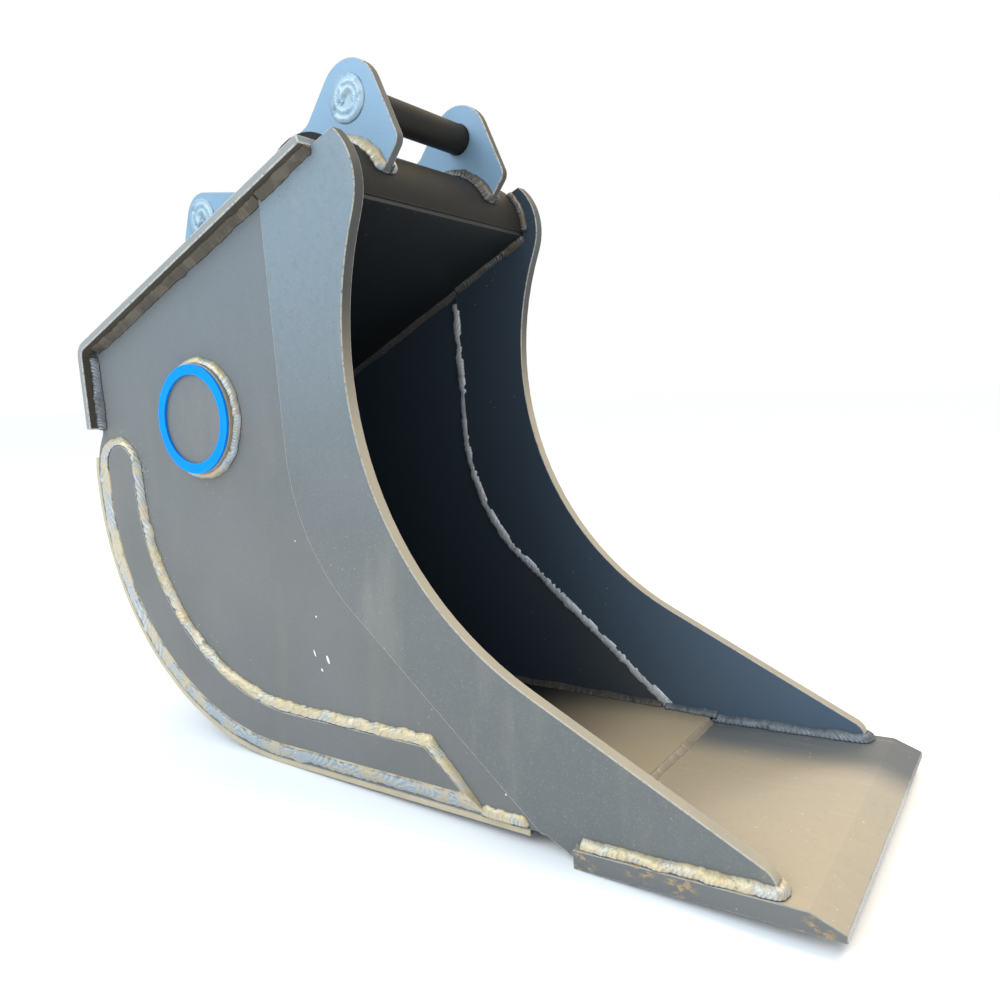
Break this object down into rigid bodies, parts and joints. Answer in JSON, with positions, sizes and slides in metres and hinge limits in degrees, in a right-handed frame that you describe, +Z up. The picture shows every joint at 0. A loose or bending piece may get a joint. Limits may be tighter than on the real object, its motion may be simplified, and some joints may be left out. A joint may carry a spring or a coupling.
{
  "type": "cable trenching bucket",
  "caption": "Narrow welded trenching bucket in worn grey paint with captive hitch pins between ears, a flat cutting edge, wear strips round the heel and a blue badge blank",
  "frame": {"origin": "centre of the bounding box in plan, on the ground that the bucket rests on", "axes": "+X forward towards the cutting edge's lip, +Y across to the bucket's left side, +Z up; the badge blank is on the right, at negative Y"},
  "size_m": [1.0616, 0.415, 0.8551],
  "materials": {
    "grey_paint": "satin",
    "inner_shell": "satin",
    "wear_steel": "matte",
    "pin_steel": "satin",
    "weld_bead": "satin",
    "badge_blue": "gloss"
  },
  "bodies": {
    "root": {"cutting_edge": "wear_steel", "shell_liner": "inner_shell", "knife_plate_right": "grey_paint", "knife_plate_left": "grey_paint", "side_plate_right": "grey_paint", "side_plate_left": "grey_paint", "hitch_plate": "grey_paint", "front_half_pipe": "grey_paint", "half_pipe_caps": "grey_paint", "hitch_ear_right": "grey_paint", "hitch_ear_left": "grey_paint", "front_pin": "pin_steel", "rear_pin": "pin_steel", "heel_plate": "grey_paint", "wear_strip_right": "grey_paint", "wear_strip_left": "grey_paint", "badge_blank": "grey_paint", "badge_ring": "badge_blue", "blade_welds_right": "weld_bead", "blade_welds_left": "weld_bead", "floor_seam_weld": "weld_bead", "side_seam_weld_right": "weld_bead", "side_seam_weld_left": "weld_bead", "lining_weld_right": "weld_bead", "lining_weld_left": "weld_bead", "hitch_plate_weld_right": "weld_bead", "hitch_plate_weld_left": "weld_bead", "flange_weld": "weld_bead", "half_pipe_welds": "weld_bead", "ear_welds_right": "weld_bead", "ear_welds_left": "weld_bead", "pin_plug_welds": "weld_bead", "wear_strip_weld_right": "weld_bead", "wear_strip_weld_left": "weld_bead", "badge_weld": "weld_bead", "heel_edge_weld_right": "weld_bead", "heel_edge_weld_left": "weld_bead"}
  },
  "joints": []
}
